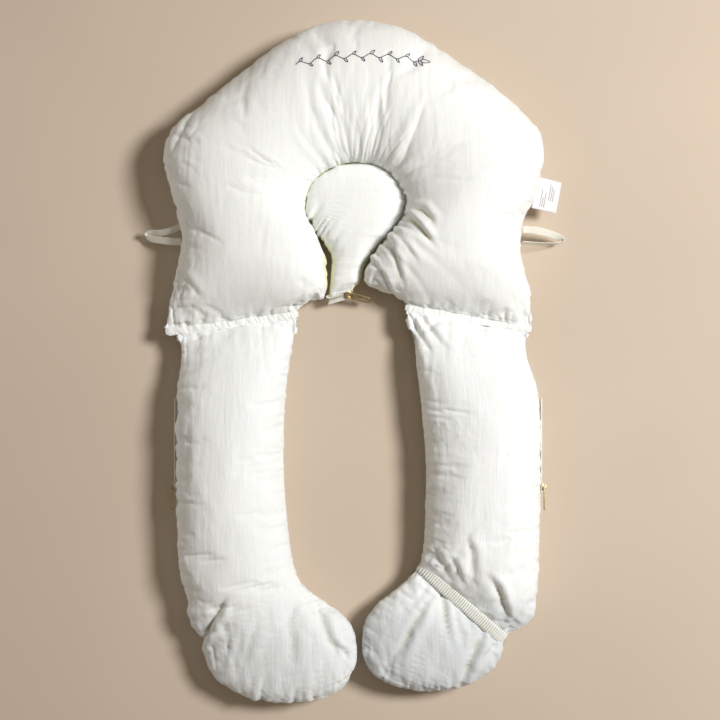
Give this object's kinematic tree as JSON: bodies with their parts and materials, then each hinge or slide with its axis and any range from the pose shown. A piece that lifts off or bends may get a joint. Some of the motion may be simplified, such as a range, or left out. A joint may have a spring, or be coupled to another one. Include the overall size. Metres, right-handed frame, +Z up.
{
  "type": "nursing pillow",
  "caption": "Soft horseshoe baby pillow with a stuffed head bolster, a bulb-shaped head pad and two hinged side arms with turned-in tips.",
  "frame": {"origin": "middle of the pillow's box at the level of the bed it lies on", "axes": "+Y towards the head bolster, +X to the right seen from above with the head up, +Z up"},
  "size_m": [0.4932, 0.8003, 0.0927],
  "materials": {
    "cotton": "crinkled cream cotton gauze",
    "stuffing": "loose polyester fibre",
    "zip_tape": "woven zip tape",
    "zip_teeth": "white nylon",
    "zip_metal": "plated metal",
    "thread": "grey embroidery thread",
    "loop_tape": "folded cotton tape",
    "label": "white satin tape, blank",
    "elastic": "woven elastic tape"
  },
  "bodies": {
    "bolster": {"bolster_top_panel": "cotton", "bolster_base_panel": "cotton", "bolster_stuffing": "stuffing", "stitched_motif": "thread", "bulb_top_panel": "cotton", "bulb_base_panel": "cotton", "bulb_stuffing": "stuffing", "left_seam_band": "cotton", "right_seam_band": "cotton"},
    "neck": {"neck_top_panel": "cotton", "neck_base_panel": "cotton", "neck_stuffing": "stuffing", "pad_zip_tapes": "zip_tape", "pad_zip_teeth": "zip_teeth", "pad_zip_stops": "zip_teeth"},
    "pad_slider": {"pad_zip_slider": "zip_metal"},
    "pad_pull": {"pad_zip_pull": "zip_metal"},
    "left_arm": {"left_arm_top_panel": "cotton", "left_arm_base_panel": "cotton", "left_arm_stuffing": "stuffing", "left_zip_tapes": "zip_tape", "left_zip_teeth": "zip_teeth", "left_zip_stops": "zip_teeth"},
    "left_slider": {"left_zip_slider": "zip_metal"},
    "left_pull": {"left_zip_pull": "zip_metal"},
    "left_tip": {"left_tip_top_panel": "cotton", "left_tip_base_panel": "cotton", "left_tip_stuffing": "stuffing"},
    "right_arm": {"right_arm_top_panel": "cotton", "right_arm_base_panel": "cotton", "right_arm_stuffing": "stuffing", "right_zip_tapes": "zip_tape", "right_zip_teeth": "zip_teeth", "right_zip_stops": "zip_teeth", "elastic_casing": "cotton", "elastic_core": "elastic"},
    "right_slider": {"right_zip_slider": "zip_metal"},
    "right_pull": {"right_zip_pull": "zip_metal"},
    "right_tip": {"right_tip_top_panel": "cotton", "right_tip_base_panel": "cotton", "right_tip_stuffing": "stuffing"},
    "left_side_loop": {"left_loop": "loop_tape"},
    "right_side_loop": {"right_loop": "loop_tape"},
    "label": {"care_label": "label"}
  },
  "joints": [
    {"name": "left_arm_fold", "type": "hinge", "parent": "bolster", "child": "left_arm", "pos_m": [-0.14308, 0.04066, 0.036], "axis": [-0.9911, -0.1334, 0], "range_deg": [-80, 90]},
    {"name": "right_arm_fold", "type": "hinge", "parent": "bolster", "child": "right_arm", "pos_m": [0.13081, 0.0462, 0.036], "axis": [-0.9849, 0.173, 0], "range_deg": [-80, 90]},
    {"name": "left_tip_curl", "type": "hinge", "parent": "left_arm", "child": "left_tip", "pos_m": [-0.1195, -0.2885, 0.0484], "axis": [-0.7779, -0.6283, 0], "range_deg": [0, 60]},
    {"name": "right_tip_curl", "type": "hinge", "parent": "right_arm", "child": "right_tip", "pos_m": [0.1245, -0.2825, 0.0484], "axis": [-0.7719, 0.6357, 0], "range_deg": [0, 60]},
    {"name": "neck_lift", "type": "hinge", "parent": "bolster", "child": "neck", "pos_m": [-0.0075, 0.1315, 0.047], "axis": [-0.9991, -0.0425, 0], "range_deg": [0, 38]},
    {"name": "pad_zip_slide", "type": "slide", "parent": "neck", "child": "pad_slider", "axis": [-0.9563, -0.2924, 0], "range_m": [0, 0.018]},
    {"name": "pad_zip_pull_turn", "type": "hinge", "parent": "pad_slider", "child": "pad_pull", "pos_m": [-0.00895, 0.07818, 0.02718], "axis": [-0.2738, -0.917, -0.29], "range_deg": [0, 140]},
    {"name": "left_zip_slide", "type": "slide", "parent": "left_arm", "child": "left_slider", "axis": [0, 1, 0], "range_m": [0, 0.096]},
    {"name": "left_zip_pull_turn", "type": "hinge", "parent": "left_slider", "child": "left_pull", "pos_m": [-0.21335, -0.145, 0.036], "axis": [0, 0, -1], "range_deg": [0, 150]},
    {"name": "right_zip_slide", "type": "slide", "parent": "right_arm", "child": "right_slider", "axis": [0, 1, 0], "range_m": [0, 0.096]},
    {"name": "right_zip_pull_turn", "type": "hinge", "parent": "right_slider", "child": "right_pull", "pos_m": [0.21935, -0.145, 0.036], "axis": [0, 0, 1], "range_deg": [0, 150]},
    {"name": "left_loop_flop", "type": "hinge", "parent": "bolster", "child": "left_side_loop", "pos_m": [-0.2085, 0.145, 0.031], "axis": [0, 1, 0], "range_deg": [0, 40]},
    {"name": "right_loop_flop", "type": "hinge", "parent": "bolster", "child": "right_side_loop", "pos_m": [0.1975, 0.145, 0.031], "axis": [0, -1, 0], "range_deg": [0, 40]},
    {"name": "label_flop", "type": "hinge", "parent": "bolster", "child": "label", "pos_m": [0.211, 0.181, 0.036], "axis": [-0.1908, -0.9816, 0], "range_deg": [0, 60]}
  ]
}
